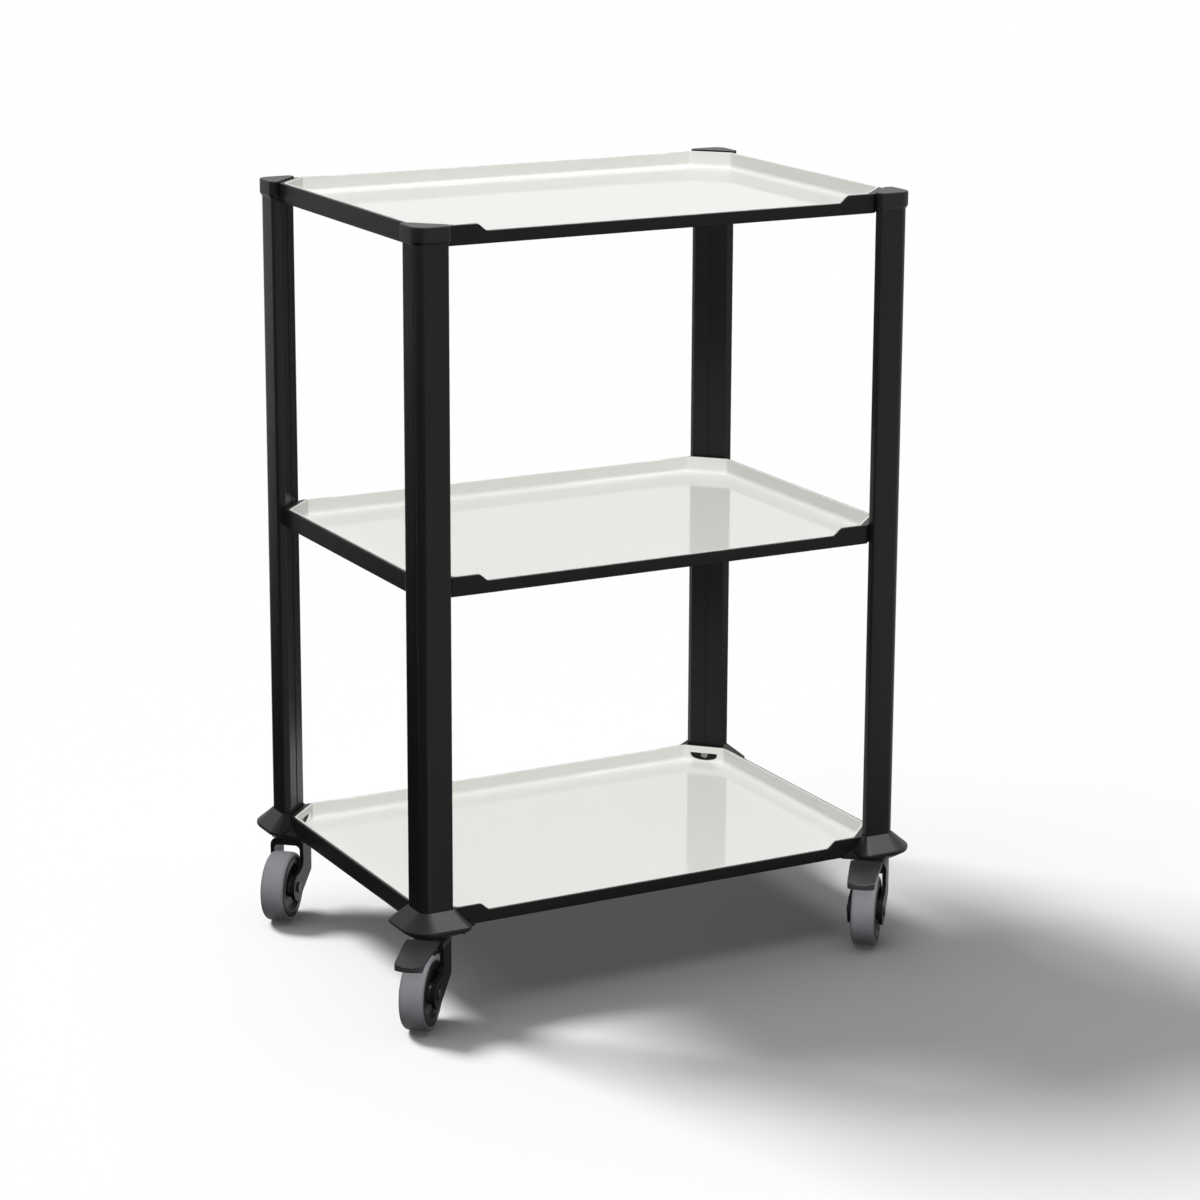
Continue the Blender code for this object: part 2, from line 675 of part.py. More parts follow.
def main():
    for item in list(bpy.data.objects):
        bpy.data.objects.remove(item)

    black = material("black anodised column", (0.012, 0.012, 0.012), 0.32, 0.3)
    casting_black = material("black moulded fittings", (0.018, 0.018, 0.018), 0.42)
    white = material("white tray", (0.80, 0.80, 0.77), 0.12)
    tread = material("grey tread", (0.30, 0.30, 0.32), 0.55)
    steel = material("zinc-plated steel", (0.45, 0.45, 0.45), 0.35, 0.9)
    black_steel = material("blackened steel", (0.03, 0.03, 0.03), 0.4, 0.6)
    dark = material("dark grey pedal", (0.055, 0.055, 0.058), 0.45)

    trolley = empty("trolley", None, (0, 0, 0))

    frame = shelf_frame_mesh()
    plain_tray, window_tray = tray_mesh(False), tray_mesh(True)
    for tier, height in shelf_heights.items():
        place(f"shelf_frame_{tier}", frame, casting_black, trolley, (0, 0, height))
        place(f"tray_{tier}", window_tray if tier == "lower" else plain_tray, white, trolley, (0, 0, height))

    column, cap, casting, screw = column_mesh(), cap_mesh(), casting_mesh(), screw_mesh()
    stem, axle, core, tyre = stem_mesh(), axle_mesh(), wheel_core_mesh(), tyre_mesh()
    forks = {braked: fork_mesh(braked) for braked in (False, True)}
    pedal, shoe, pin = pedal_mesh(), shoe_mesh(), pin_mesh()

    for corner, (sx, sy, angle) in corners.items():
        turn = radians(angle)
        spot = corner_matrix(sx, sy, angle).translation
        place(f"column_{corner}", column, black, trolley, spot, turn)
        place(f"column_cap_{corner}", cap, casting_black, trolley, spot + Vector((0, 0, shelf_heights["upper"])), turn)
        place(f"base_casting_{corner}", casting, casting_black, trolley,
              spot + Vector((0, 0, shelf_heights["lower"])), turn)
        for tier, height in shelf_heights.items():
            place(f"shelf_screw_{tier}_{corner}", screw, steel, trolley,
                  spot + Vector((0, 0, height + rim_height / 2)), turn)

        swivel = empty(f"swivel_{corner}", trolley, spot, radians(trail_directions[corner]))
        place(f"castor_stem_{corner}", stem, steel, swivel)
        braked = corner in braked_corners
        place(f"castor_fork_{corner}", forks[braked], casting_black, swivel)
        hub = empty(f"hub_{corner}", swivel, (trail, 0, wheel_radius))
        place(f"axle_{corner}", axle, black_steel, hub)
        place(f"wheel_core_{corner}", core, casting_black, hub)
        place(f"tyre_{corner}", tyre, tread, hub)
        if braked:
            pivot = empty(f"pedal_pivot_{corner}", swivel, (pedal_pivot[0], 0, pedal_pivot[1]))
            from_swivel = Vector((-pedal_pivot[0], 0, -pedal_pivot[1]))
            place(f"brake_pedal_{corner}", pedal, dark, pivot, from_swivel)
            place(f"brake_shoe_{corner}", shoe, casting_black, pivot, from_swivel)
            place(f"pedal_pin_{corner}", pin, black_steel, pivot)
    stand_on_middle(trolley)


main()
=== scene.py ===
import json

import bmesh
import bpy
import numpy as np
from mathutils import Matrix, Vector

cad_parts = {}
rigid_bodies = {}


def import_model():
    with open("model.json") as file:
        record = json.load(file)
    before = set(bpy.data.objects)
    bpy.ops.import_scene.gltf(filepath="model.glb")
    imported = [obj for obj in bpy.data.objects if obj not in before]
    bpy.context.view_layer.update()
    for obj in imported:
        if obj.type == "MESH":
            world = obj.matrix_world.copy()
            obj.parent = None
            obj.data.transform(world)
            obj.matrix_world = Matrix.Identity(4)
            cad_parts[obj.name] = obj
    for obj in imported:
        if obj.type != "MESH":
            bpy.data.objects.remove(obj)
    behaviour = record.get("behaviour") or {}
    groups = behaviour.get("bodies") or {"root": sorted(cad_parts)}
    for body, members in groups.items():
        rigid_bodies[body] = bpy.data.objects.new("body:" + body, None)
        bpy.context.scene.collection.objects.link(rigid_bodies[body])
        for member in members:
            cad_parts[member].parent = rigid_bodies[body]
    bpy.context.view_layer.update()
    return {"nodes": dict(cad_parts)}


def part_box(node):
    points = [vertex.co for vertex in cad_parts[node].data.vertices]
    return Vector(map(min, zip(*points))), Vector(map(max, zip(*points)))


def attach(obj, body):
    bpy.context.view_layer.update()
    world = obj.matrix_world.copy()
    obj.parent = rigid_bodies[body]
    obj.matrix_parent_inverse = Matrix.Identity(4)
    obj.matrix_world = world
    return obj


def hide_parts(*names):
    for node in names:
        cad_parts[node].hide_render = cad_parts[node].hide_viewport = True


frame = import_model()
print("loaded the frame:", len(frame["nodes"]), "nodes")


def newGroup(name, inputs, outputs):
    group = bpy.data.node_groups.new(name, "ShaderNodeTree")
    for label, kind, value in inputs:
        socket = group.interface.new_socket(name=label, in_out="INPUT", socket_type="NodeSocket" + kind)
        socket.default_value = value
    for label, kind in outputs:
        group.interface.new_socket(name=label, in_out="OUTPUT", socket_type="NodeSocket" + kind)
    return group, group.nodes.new("NodeGroupInput"), group.nodes.new("NodeGroupOutput")


def addNode(tree, kind, values=(), **settings):
    node = tree.nodes.new("ShaderNode" + kind)
    for key, value in settings.items():
        setattr(node, key, value)
    for key, value in dict(values).items():
        node.inputs[key].default_value = value
    return node


def addMath(tree, operation, first, second, clamp=False):
    node = addNode(tree, "Math", operation=operation, use_clamp=clamp)
    for socket, value in zip(node.inputs, (first, second)):
        if isinstance(value, (int, float)):
            socket.default_value = value
        else:
            tree.links.new(value, socket)
    return node.outputs[0]


def tint(tree, colour, factor):
    # the colour's three channels times the factor
    node = addNode(tree, "VectorMath", operation="SCALE")
    tree.links.new(colour, node.inputs[0])
    tree.links.new(factor, node.inputs["Scale"])
    return node.outputs[0]


patterns = {
    "grainBesideLines": 0.3, "scuffThinness": 60.0, "scuffRoughness": 0.2,
    "patchScale": 9, "patchLevel": 0.52, "patchContrast": 6.0,
}


def makeGrainGroup():
    # soft patches change the colour and gloss a little, and a much finer noise is the height of the grain
    group, start, end = newGroup(
        "mouldedGrain",
        [("Colour", "Color", (0.5, 0.5, 0.5, 1)), ("Mottle", "Float", 0.1), ("Patch Scale", "Float", 14),
         ("Roughness", "Float", 0.4), ("Roughness Spread", "Float", 0.06), ("Grain Scale", "Float", 900)],
        [("Colour", "Color"), ("Roughness", "Float"), ("Height", "Float")])
    place = addNode(group, "TexCoord")
    patches = addNode(group, "TexNoise", {"Detail": 5, "Roughness": 0.6})
    grain = addNode(group, "TexNoise", {"Detail": 2, "Roughness": 0.5})
    for noise, label in ((patches, "Patch Scale"), (grain, "Grain Scale")):
        group.links.new(place.outputs["Object"], noise.inputs["Vector"])
        group.links.new(start.outputs[label], noise.inputs["Scale"])
    swing = addMath(group, "SUBTRACT", patches.outputs[0], 0.5)
    factor = addMath(group, "ADD", addMath(group, "MULTIPLY", swing, start.outputs["Mottle"]), 1.0)
    group.links.new(tint(group, start.outputs["Colour"], factor), end.inputs["Colour"])
    spread = addMath(group, "MULTIPLY", swing, start.outputs["Roughness Spread"])
    group.links.new(addMath(group, "ADD", spread, start.outputs["Roughness"]), end.inputs["Roughness"])
    group.links.new(grain.outputs[0], end.inputs["Height"])
    return group


def makeLinesGroup():
    # noise squeezed across and stretched along one axis, as a drawing die or a brush leaves it
    group, start, end = newGroup("drawnLines", [("Across", "Vector", (700, 700, 2))], [("Line", "Float")])
    place = addNode(group, "TexCoord")
    stretch = addNode(group, "VectorMath", operation="MULTIPLY")
    group.links.new(place.outputs["Object"], stretch.inputs[0])
    group.links.new(start.outputs["Across"], stretch.inputs[1])
    noise = addNode(group, "TexNoise", {"Scale": 1, "Detail": 3, "Roughness": 0.55})
    group.links.new(stretch.outputs[0], noise.inputs["Vector"])
    group.links.new(noise.outputs[0], end.inputs["Line"])
    return group


def makeScuffGroup():
    # thin marks where a stretched noise crosses its middle, kept only inside sparse patches
    group, start, end = newGroup(
        "handlingScuffs", [("Stretch", "Vector", (40, 160, 160)), ("Amount", "Float", 0.4)],
        [("Mask", "Float")])
    place = addNode(group, "TexCoord")
    stretch = addNode(group, "VectorMath", operation="MULTIPLY")
    group.links.new(place.outputs["Object"], stretch.inputs[0])
    group.links.new(start.outputs["Stretch"], stretch.inputs[1])
    marks = addNode(group, "TexNoise", {"Scale": 1, "Detail": 4, "Roughness": 0.6, "Distortion": 0.4})
    group.links.new(stretch.outputs[0], marks.inputs["Vector"])
    area = addNode(group, "TexNoise", {"Scale": patterns["patchScale"], "Detail": 2})
    group.links.new(place.outputs["Object"], area.inputs["Vector"])
    off = addMath(group, "ABSOLUTE", addMath(group, "SUBTRACT", marks.outputs[0], 0.5), 0.0)
    off = addMath(group, "MULTIPLY", off, patterns["scuffThinness"])
    thin = addMath(group, "SUBTRACT", 1.0, off, clamp=True)
    area = addMath(group, "SUBTRACT", area.outputs[0], patterns["patchLevel"])
    area = addMath(group, "MULTIPLY", area, patterns["patchContrast"], clamp=True)
    mask = addMath(group, "MULTIPLY", thin, area)
    mask = addMath(group, "MULTIPLY", mask, start.outputs["Amount"], clamp=True)
    group.links.new(mask, end.inputs["Mask"])
    return group


grainGroup, linesGroup, scuffGroup = makeGrainGroup(), makeLinesGroup(), makeScuffGroup()


def makeFinish(look):
    # one Principled shader, whose colour, gloss and bump come from the shared groups with this look's values
    made = bpy.data.materials.new(look["name"])
    made.use_nodes = True
    tree = made.node_tree
    shader = tree.nodes["Principled BSDF"]
    for key, value in look["shader"].items():
        shader.inputs[key].default_value = value
    grain = addNode(tree, "Group", node_tree=grainGroup)
    for key in ("Mottle", "Patch Scale", "Roughness", "Roughness Spread", "Grain Scale"):
        grain.inputs[key].default_value = look[key]
    grain.inputs["Colour"].default_value = (*look["colour"], 1)
    colour, rough, height = (grain.outputs[k] for k in ("Colour", "Roughness", "Height"))
    if "lines" in look:
        lines = addNode(tree, "Group", {"Across": look["lines"]}, node_tree=linesGroup)
        height = addMath(tree, "MULTIPLY", height, patterns["grainBesideLines"])
        height = addMath(tree, "ADD", height, lines.outputs["Line"])
        change = addMath(tree, "SUBTRACT", lines.outputs["Line"], 0.5)
        rough = addMath(tree, "ADD", rough, addMath(tree, "MULTIPLY", change, look["lineGloss"]))
    if "scuffs" in look:
        scuffs = addNode(tree, "Group", node_tree=scuffGroup)
        scuffs.inputs["Stretch"].default_value = look["scuffs"]
        scuffs.inputs["Amount"].default_value = look["scuffAmount"]
        mix = addNode(tree, "Mix", data_type="RGBA")   # its two colours are sockets 6 and 7
        tree.links.new(scuffs.outputs["Mask"], mix.inputs[0])
        tree.links.new(colour, mix.inputs[6])
        mix.inputs[7].default_value = (*look["scuffColour"], 1)
        colour = mix.outputs[2]
        worn = addMath(tree, "MULTIPLY", scuffs.outputs["Mask"], patterns["scuffRoughness"])
        rough = addMath(tree, "ADD", rough, worn, clamp=True)
    bump = addNode(tree, "Bump", {"Strength": look["bump"], "Distance": look["depth"]})
    tree.links.new(height, bump.inputs["Height"])
    tree.links.new(colour, shader.inputs["Base Color"])
    tree.links.new(rough, shader.inputs["Roughness"])
    tree.links.new(bump.outputs[0], shader.inputs["Normal"])
    return made


looks = {
    "column": {
        "name": "blackAnodisedColumn", "colour": (0.0125, 0.0125, 0.0127),
        "Mottle": 0.25, "Patch Scale": 5, "Roughness": 0.24, "Roughness Spread": 0.08,
        "Grain Scale": 1400, "lines": (900, 900, 3), "lineGloss": 0.14, "bump": 0.10, "depth": 0.0002,
        "shader": {"Specular IOR Level": 0.16},
    },
    "fitting": {
        "name": "blackMouldedFitting", "colour": (0.0080, 0.0080, 0.0083),
        "Mottle": 0.30, "Patch Scale": 18, "Roughness": 0.40, "Roughness Spread": 0.10,
        "Grain Scale": 1100, "scuffs": (60, 60, 220), "scuffAmount": 0.10, "scuffColour": (0.05, 0.05, 0.05),
        "bump": 0.16, "depth": 0.00025, "shader": {"Specular IOR Level": 0.24},
    },
    "rim": {
        "name": "blackShelfRim", "colour": (0.0100, 0.0100, 0.0102),
        "Mottle": 0.25, "Patch Scale": 9, "Roughness": 0.36, "Roughness Spread": 0.08,
        "Grain Scale": 1300, "bump": 0.12, "depth": 0.0002, "shader": {"Specular IOR Level": 0.12},
    },
    "tray": {
        "name": "glossyWhiteTray", "colour": (0.790, 0.790, 0.760),
        "Mottle": 0.012, "Patch Scale": 3, "Roughness": 0.06, "Roughness Spread": 0.04,
        "Grain Scale": 160, "scuffs": (24, 150, 90), "scuffAmount": 0.06, "scuffColour": (0.62, 0.62, 0.60),
        "bump": 0.015, "depth": 0.0002, "shader": {"Specular IOR Level": 0.2},
    },
    "tread": {
        "name": "greyWheelTread", "colour": (0.245, 0.241, 0.262),
        "Mottle": 0.16, "Patch Scale": 26, "Roughness": 0.55, "Roughness Spread": 0.12,
        "Grain Scale": 800, "scuffs": (90, 90, 90), "scuffAmount": 0.35, "scuffColour": (0.16, 0.155, 0.165),
        "bump": 0.22, "depth": 0.0003, "shader": {"Specular IOR Level": 0.35},
    },
    "wheel_core": {
        "name": "blackWheelCore", "colour": (0.0095, 0.0095, 0.0100),
        "Mottle": 0.25, "Patch Scale": 22, "Roughness": 0.34, "Roughness Spread": 0.08,
        "Grain Scale": 1000, "bump": 0.14, "depth": 0.0002, "shader": {"Specular IOR Level": 0.15},
    },
    "fork": {
        "name": "blackCastorFork", "colour": (0.0060, 0.0060, 0.0063),
        "Mottle": 0.30, "Patch Scale": 20, "Roughness": 0.36, "Roughness Spread": 0.09,
        "Grain Scale": 1000, "bump": 0.15, "depth": 0.0002, "shader": {"Specular IOR Level": 0.12},
    },
    "pedal": {
        "name": "darkGreyPedal", "colour": (0.034, 0.034, 0.036),
        "Mottle": 0.22, "Patch Scale": 24, "Roughness": 0.42, "Roughness Spread": 0.10,
        "Grain Scale": 900, "scuffs": (120, 60, 60), "scuffAmount": 0.22, "scuffColour": (0.09, 0.09, 0.09),
        "bump": 0.22, "depth": 0.00025, "shader": {"Specular IOR Level": 0.5},
    },
    "shoe": {
        "name": "blackRubberShoe", "colour": (0.013, 0.013, 0.013),
        "Mottle": 0.3, "Patch Scale": 30, "Roughness": 0.75, "Roughness Spread": 0.1,
        "Grain Scale": 700, "bump": 0.3, "depth": 0.0003, "shader": {"Specular IOR Level": 0.3},
    },
    "steel": {
        "name": "zincPlatedSteel", "colour": (0.32, 0.32, 0.31),
        "Mottle": 0.18, "Patch Scale": 60, "Roughness": 0.34, "Roughness Spread": 0.16,
        "Grain Scale": 500, "lines": (60, 60, 900), "lineGloss": 0.12, "bump": 0.10, "depth": 0.0001,
        "shader": {"Metallic": 1.0},
    },
    "axle": {
        "name": "blackenedSteel", "colour": (0.022, 0.022, 0.023),
        "Mottle": 0.25, "Patch Scale": 60, "Roughness": 0.38, "Roughness Spread": 0.12,
        "Grain Scale": 600, "lines": (500, 500, 500), "lineGloss": 0.10, "bump": 0.10, "depth": 0.0001,
        "shader": {"Metallic": 0.6},
    },
}
finishes = {slot: makeFinish(look) for slot, look in looks.items()}
print("made", len(finishes), "finishes from", len(bpy.data.node_groups), "node groups")


def roundCorners(points, radii, count):
    # each corner becomes an arc: its centre lies on the bisector at radius / sin(half the angle), and the arc
    # turns evenly from the point where it leaves one side to the point where it meets the next
    points = np.asarray(points, float)
    radii = np.broadcast_to(np.asarray(radii, float), (len(points),))[:, None]
    back, ahead = np.roll(points, 1, 0) - points, np.roll(points, -1, 0) - points
    back /= np.linalg.norm(back, axis=1, keepdims=True)
    ahead /= np.linalg.norm(ahead, axis=1, keepdims=True)
    half = np.arccos(np.clip((back * ahead).sum(1, keepdims=True), -1, 1)) / 2
    bisector = back + ahead
    bisector /= np.linalg.norm(bisector, axis=1, keepdims=True)
    centre = points + bisector * radii / np.sin(half)
    leave = points + back * radii / np.tan(half) - centre
    meet = points + ahead * radii / np.tan(half) - centre
    first = np.arctan2(leave[:, 1], leave[:, 0])
    sweep = (np.arctan2(meet[:, 1], meet[:, 0]) - first + np.pi) % (2 * np.pi) - np.pi
    angles = first[:, None] + sweep[:, None] * np.linspace(0, 1, count + 1)
    arcs = centre[:, None] + radii[:, None] * np.stack([np.cos(angles), np.sin(angles)], -1)
    return arcs.reshape(-1, 2)


def quarter(radius, count, start):
    # (inwards, up or down) offsets of a quarter circle from its corner, r (1 - sin t) and r (1 - cos t),
    # beginning on the level face or on the upright one
    turn = np.linspace(0, np.pi / 2, count + 1)
    a, b = radius * (1 - np.sin(turn)), radius * (1 - np.cos(turn))
    return list(zip(a, b)) if start == "level" else list(zip(b, a))


def skin(rings, joinRows=False):
    # a grid of points, one row to each ring: every cell of the grid is a face, and the first and last ring
    # are filled, or joined to each other where the rows go round
    rings = np.asarray(rings, float)
    rows, count = rings.shape[:2]
    index = np.arange(rows * count).reshape(rows, count)
    low = index if joinRows else index[:-1]
    high = np.roll(index, -1, 0) if joinRows else index[1:]
    cells = np.stack([low, np.roll(low, -1, 1), np.roll(high, -1, 1), high], -1).reshape(-1, 4).tolist()
    if not joinRows:
        cells += [index[0, ::-1].tolist(), index[-1].tolist()]
    return rings.reshape(-1, 3), cells


def atHeight(outline, height):
    # a flat outline lifted to one height
    return np.c_[outline, np.full(len(outline), height)]


def lathe(profile, segments):
    # (radius, across) turned about the across axis: x = r cos t, y = across, z = r sin t
    profile = np.asarray(profile, float)
    turn = 2 * np.pi * np.arange(segments) / segments
    r, across = profile[:, :1], profile[:, 1:]
    return np.stack([r * np.cos(turn), across + 0 * turn, r * np.sin(turn)], -1)


def makeMesh(name, parts):
    # the parts' points and faces as one mesh, with the faces of each closed part pointing out
    counts = np.cumsum([0] + [len(points) for points, _ in parts])
    faces = [[i + start for i in face] for start, (_, cells) in zip(counts, parts) for face in cells]
    mesh = bpy.data.meshes.new(name)
    mesh.from_pydata(np.concatenate([points for points, _ in parts]).tolist(), [], faces)
    work = bmesh.new()
    work.from_mesh(mesh)
    bmesh.ops.recalc_face_normals(work, faces=work.faces)
    work.to_mesh(mesh)
    work.free()
    return mesh


def carve(mesh, cutters):
    # the mesh with the closed cutters taken out of it
    solid = bpy.data.objects.new("solid", mesh)
    tool = bpy.data.objects.new("cutter", makeMesh("cutter", cutters))
    for item in (solid, tool):
        bpy.context.scene.collection.objects.link(item)
    cut = solid.modifiers.new("cut", "BOOLEAN")
    cut.object, cut.operation, cut.solver = tool, "DIFFERENCE", "EXACT"
    result = bpy.data.meshes.new_from_object(solid.evaluated_get(bpy.context.evaluated_depsgraph_get()))
    for item, used in ((solid, mesh), (tool, tool.data)):
        bpy.data.objects.remove(item)
        bpy.data.meshes.remove(used)
    return result


def finishPiece(name, mesh, slot, body, node, sharp=32):
    # shaded smooth, apart from edges sharper than that angle, and riding on its body in its node's place
    mesh.name = name
    mesh.materials.clear()
    mesh.materials.append(finishes[slot])
    mesh.shade_smooth()
    mesh.set_sharp_from_angle(angle=np.radians(sharp))
    piece = bpy.data.objects.new(name, mesh)
    bpy.context.scene.collection.objects.link(piece)
    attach(piece, body)
    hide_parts(node)
    return piece


def keepFlat(piece):
    piece.modifiers.new("flat faces stay flat", "WEIGHTED_NORMAL").keep_sharp = True


def makePiece(name, parts, slot, body, node):
    keepFlat(finishPiece(name, makeMesh(name, parts), slot, body, node))


# each corner's side in x and y, and its turn in degrees
corners = {"front_left": (-1, -1, 0), "front_right": (1, -1, 90),
           "rear_right": (1, 1, 180), "rear_left": (-1, 1, 270)}
# which way the castors trail, in degrees from +X, as in the photograph
trailDirections = {"front_left": 228, "front_right": 231, "rear_right": 228, "rear_left": 228}
braked = ("front_left", "front_right")

# how many steps each curve has
steps = {
    "shelfBend": 5, "rimEdge": 3, "trayEdge": 4, "cove": 8, "window": 24, "seat": 32,
    "columnBend": 7, "wallBend": 6, "crown": 5, "slope": 3, "wing": 8,
    "shoulder": 10, "coreBend": 4, "dome": 6, "turn": 96, "boltTurn": 40,
}
# all sizes are in metres
shelf = {
    "width": 0.577, "depth": 0.400, "fit": 0.0003,
    "rimHeight": 0.0194, "frontHeight": 0.0115, "rearHeight": 0.0185,
    "earEnd": 0.2211, "earSlope": 0.0090, "earRounding": 0.0024, "earEase": 0.6, "earPoints": 13,
    "wall": 0.0026, "cornerWall": 0.0066, "bend": 0.0060, "leastBend": 0.0012,
    "edge": 0.0008, "innerEdge": 0.0003,
    "ledgeWidth": 0.0110, "ledgeBottom": -0.0017, "ledgeRecess": 0.0010,
    "screwSeat": 0.0047, "seatInset": 0.0030, "seatCut": 0.0060,
}
tray = {
    "wall": 0.0024, "floor": 0.0022, "cove": 0.0045, "floorMargin": 0.0015,
    "edge": 0.0007, "rise": 0.0008, "footEdge": 0.0020,
    "windowWidth": 0.0340, "windowHeight": 0.0095, "windowSill": 0.0028,
    "windowFullness": 0.6, "windowReach": 0.7,
}
column = {
    "half": 0.01855, "proud": 0.0072, "shoulder": 0.0096, "wall": 0.0022,
    "corner": 0.0105, "edge": 0.0032, "bend": 0.0016, "leastCorner": 0.0010, "leastEdge": 0.0008,
    "grooveWidth": 0.0030, "grooveDepth": 0.0012, "grooveInside": 0.0002, "grooveBend": 0.00015,
}
diagonal = 0.5 ** 0.5
frameLow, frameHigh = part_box("shelf_frame_lower")
middle = np.array([(frameLow.x + frameHigh.x) / 2, (frameLow.y + frameHigh.y) / 2])
tierHeights = {t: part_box("shelf_frame_" + t)[1].z - shelf["rimHeight"] for t in ("lower", "middle", "upper")}
# the length that the shelf's cut corner takes off each side
cutCorner = 2 * column["half"] - 2 * column["proud"] + column["shoulder"] + 2 ** 0.5 * shelf["fit"]
innerFace = column["shoulder"] / 2 ** 0.5   # from the column's middle to its slanted face


def cornerSpot(corner):
    # the middle of the column, which stands proud of the shelf's corner
    sx, sy, _ = corners[corner]
    inset = column["half"] - column["proud"]
    return middle + np.array([sx * (shelf["width"] / 2 - inset), sy * (shelf["depth"] / 2 - inset)])


def toCorner(part, corner, lift=0.0):
    # from a column's own axes, its inner face towards +X+Y, to its corner of the trolley
    angle = np.radians(corners[corner][2])
    c, s = np.cos(angle), np.sin(angle)
    points, cells = part
    moved = points.copy()
    moved[:, :2] = points[:, :2] @ np.array([[c, s], [-s, c]]) + cornerSpot(corner)
    moved[:, 2] += lift
    return moved, cells


def shelfStations(side, corner):
    # points round the eight-sided shelf, moved in by `side` along the sides and by `corner` along the cut
    # corners, with extra stations along the front and rear where the rim changes height. The third value is
    # the rim's top
    x, y = shelf["width"] / 2 - side, shelf["depth"] / 2 - side
    line = shelf["width"] / 2 + shelf["depth"] / 2 - cutCorner - 2 ** 0.5 * corner
    nx, ny = line - y, line - x
    octagon = [(-nx, -y), (nx, -y), (x, -ny), (x, ny), (nx, y), (-nx, y), (-x, ny), (-x, -ny)]
    arcs = roundCorners(octagon, max(shelf["bend"] - side, shelf["leastBend"]), steps["shelfBend"])
    arcs = atHeight(arcs, shelf["rimHeight"]).reshape(len(octagon), -1, 3)
    share = np.linspace(0, 1, shelf["earPoints"])
    across = shelf["earEnd"] + shelf["earRounding"] - share * (shelf["earSlope"] + shelf["earRounding"])
    eased = share * share * (3 - 2 * share)   # a straight slope, mixed with one whose ends are eased
    eased = eased * shelf["earEase"] + share * (1 - shelf["earEase"])

    def lowered(low, y, sign):
        # one side's rim, from its first ear down to the low middle and up to the other ear
        drop = shelf["rimHeight"] - (shelf["rimHeight"] - low) * eased
        half = np.c_[-sign * across, np.full(len(share), y), drop]
        return np.concatenate([half, half[::-1] * [-1, 1, 1]])

    front, rear = lowered(shelf["frontHeight"], -y, 1), lowered(shelf["rearHeight"], y, -1)
    return np.concatenate([arcs[0], front, *arcs[1:5], rear, *arcs[5:]])


def shelfRings(rows, lift):
    # one ring to each row of (side inset, corner inset, height, depth below the rim's top). A height of None
    # follows the top, and only then is the depth used
    rings = []
    for side, corner, height, below in rows:
        ring = shelfStations(side, corner)
        ring[:, 2] = ring[:, 2] - below if height is None else height
        rings.append(ring + [*middle, lift])
    return np.array(rings)


def frameRows():
    # up the outside, over the rounded top, down to the ledge that carries the tray, and back under it
    wall, thick, edge, inner = (shelf[k] for k in ("wall", "cornerWall", "edge", "innerEdge"))
    ledge, recess, bottom = (shelf[k] for k in ("ledgeWidth", "ledgeRecess", "ledgeBottom"))
    seat = -shelf["fit"]
    rows = [(i, i, up, 0) for i, up in quarter(edge, steps["rimEdge"], "level")]
    rows += [(i, i, None, down) for i, down in quarter(edge, steps["rimEdge"], "upright")]
    rows += [(wall - inner, thick - inner, None, 0), (wall, thick, None, inner), (wall, thick, seat, 0)]
    rows += [(wall + ledge, thick + ledge, seat, 0), (wall + ledge, thick + ledge, bottom, 0)]
    rows += [(recess, recess, bottom, 0), (recess, recess, 0.0, 0)]
    return rows


def trayRows():
    # from the middle of the underside, up the outside, over the rim, and down the cove to the floor
    side, corner = shelf["wall"] + shelf["fit"], shelf["cornerWall"] + shelf["fit"]
    thick, edge, rise, cove, floor = (tray[k] for k in ("wall", "edge", "rise", "cove", "floor"))
    rows = [(side + 2 * tray["footEdge"], corner + 2 * tray["footEdge"], 0.0, 0)]
    rows += [(side + i, corner + i, up, 0) for i, up in quarter(tray["footEdge"], steps["trayEdge"], "level")]
    for inward, down in quarter(edge, steps["trayEdge"], "upright"):
        rows.append((side + inward, corner + inward, None, down - rise))
    for inward, down in quarter(edge, steps["trayEdge"], "level"):
        rows.append((side + thick - inward, corner + thick - inward, None, down - rise))
    for inward, up in quarter(cove, steps["cove"], "upright"):
        rows.append((side + thick + inward, corner + thick + inward, floor + up, 0))
    inset = thick + cove + tray["floorMargin"]
    rows.append((side + inset, corner + inset, floor, 0))
    return rows


def diagonalCutter(corner, outline, near, far, lift):
    # an outline of (up, across) pushed along the corner's diagonal from `near` to `far`
    outline = np.asarray(outline, float)
    up = np.broadcast_to(outline[:, 0], (2, len(outline)))
    across = np.broadcast_to(outline[:, 1], up.shape)
    away = np.broadcast_to(np.array([[near], [far]]), up.shape)
    rings = np.stack([diagonal * (away - across), diagonal * (away + across), up], -1)
    return toCorner(skin(rings), corner, lift)


def windowOutline():
    # a flat top edge, and a full curve below it: half the width times cos t, the height times a power of sin t
    turn = np.linspace(0, np.pi, steps["window"] + 1)[1:-1]
    top, half = tray["windowSill"] + tray["windowHeight"], tray["windowWidth"] / 2
    curve = np.c_[top - tray["windowHeight"] * np.sin(turn) ** tray["windowFullness"], half * np.cos(turn)]
    return np.r_[[(top, half)], curve, [(top, -half)]]


def seatOutline():
    # the round seat of a shelf screw's head, halfway up the rim
    turn = np.linspace(0, 2 * np.pi, steps["seat"] + 1)[:-1]
    circle = shelf["screwSeat"] * np.c_[np.cos(turn), np.sin(turn)]
    return circle + [shelf["rimHeight"] / 2, 0]


